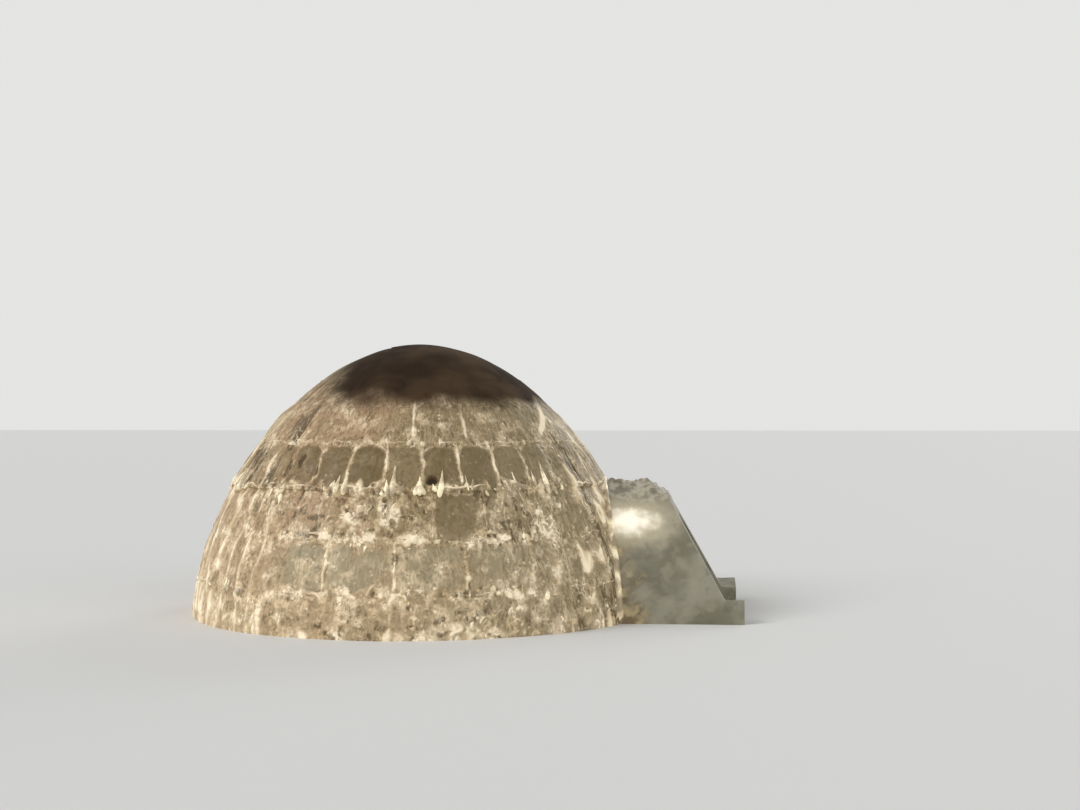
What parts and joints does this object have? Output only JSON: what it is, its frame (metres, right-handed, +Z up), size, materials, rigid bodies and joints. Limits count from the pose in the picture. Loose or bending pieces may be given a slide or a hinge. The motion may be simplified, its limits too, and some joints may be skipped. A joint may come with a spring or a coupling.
{
  "type": "snow block igloo",
  "caption": "Igloo: a hollow dome of tapered, inward-leaning snow blocks with a key block on top, a doorway and a low arched crawl-in passage.",
  "frame": {"origin": "on the ground at the middle of the whole footprint, dome and passage together", "axes": "+Z up, +X out through the doorway along the passage, +Y to the left of someone who looks out"},
  "size_m": [4.3499, 3.6, 2.124],
  "materials": {
    "block_snow": "hard snow glazed to translucent ice, lit warm",
    "crown_snow": "smooth thin ice, dark at the crown",
    "passage_snow": "hard snow, grey and smooth with a crusted top"
  },
  "bodies": {
    "root": {"course_1_far_side": "block_snow", "course_1_front": "block_snow", "course_1_passage_side": "block_snow", "course_1_rear": "block_snow", "course_2_far_side": "block_snow", "course_2_front": "block_snow", "course_2_passage_side": "block_snow", "course_2_rear": "block_snow", "course_3_far_side": "block_snow", "course_3_front": "block_snow", "course_3_passage_side": "block_snow", "course_3_rear": "block_snow", "course_4_far_side": "block_snow", "course_4_front": "block_snow", "course_4_passage_side": "block_snow", "course_4_rear": "block_snow", "course_5_far_side": "block_snow", "course_5_front": "block_snow", "course_5_passage_side": "block_snow", "course_5_rear": "block_snow", "course_6_front": "block_snow", "course_6_rear": "block_snow", "course_7_front": "crown_snow", "course_7_rear": "crown_snow", "course_8_front": "crown_snow", "course_8_rear": "crown_snow", "doorway_lintel": "block_snow", "key_block": "crown_snow", "passage_course_1_front": "passage_snow", "passage_course_1_rear": "passage_snow", "passage_course_2_front": "passage_snow", "passage_course_2_rear": "passage_snow", "passage_course_3_front": "passage_snow", "passage_course_3_rear": "passage_snow", "passage_crown": "passage_snow", "passage_kerb_front": "passage_snow", "passage_kerb_rear": "passage_snow"}
  },
  "joints": []
}
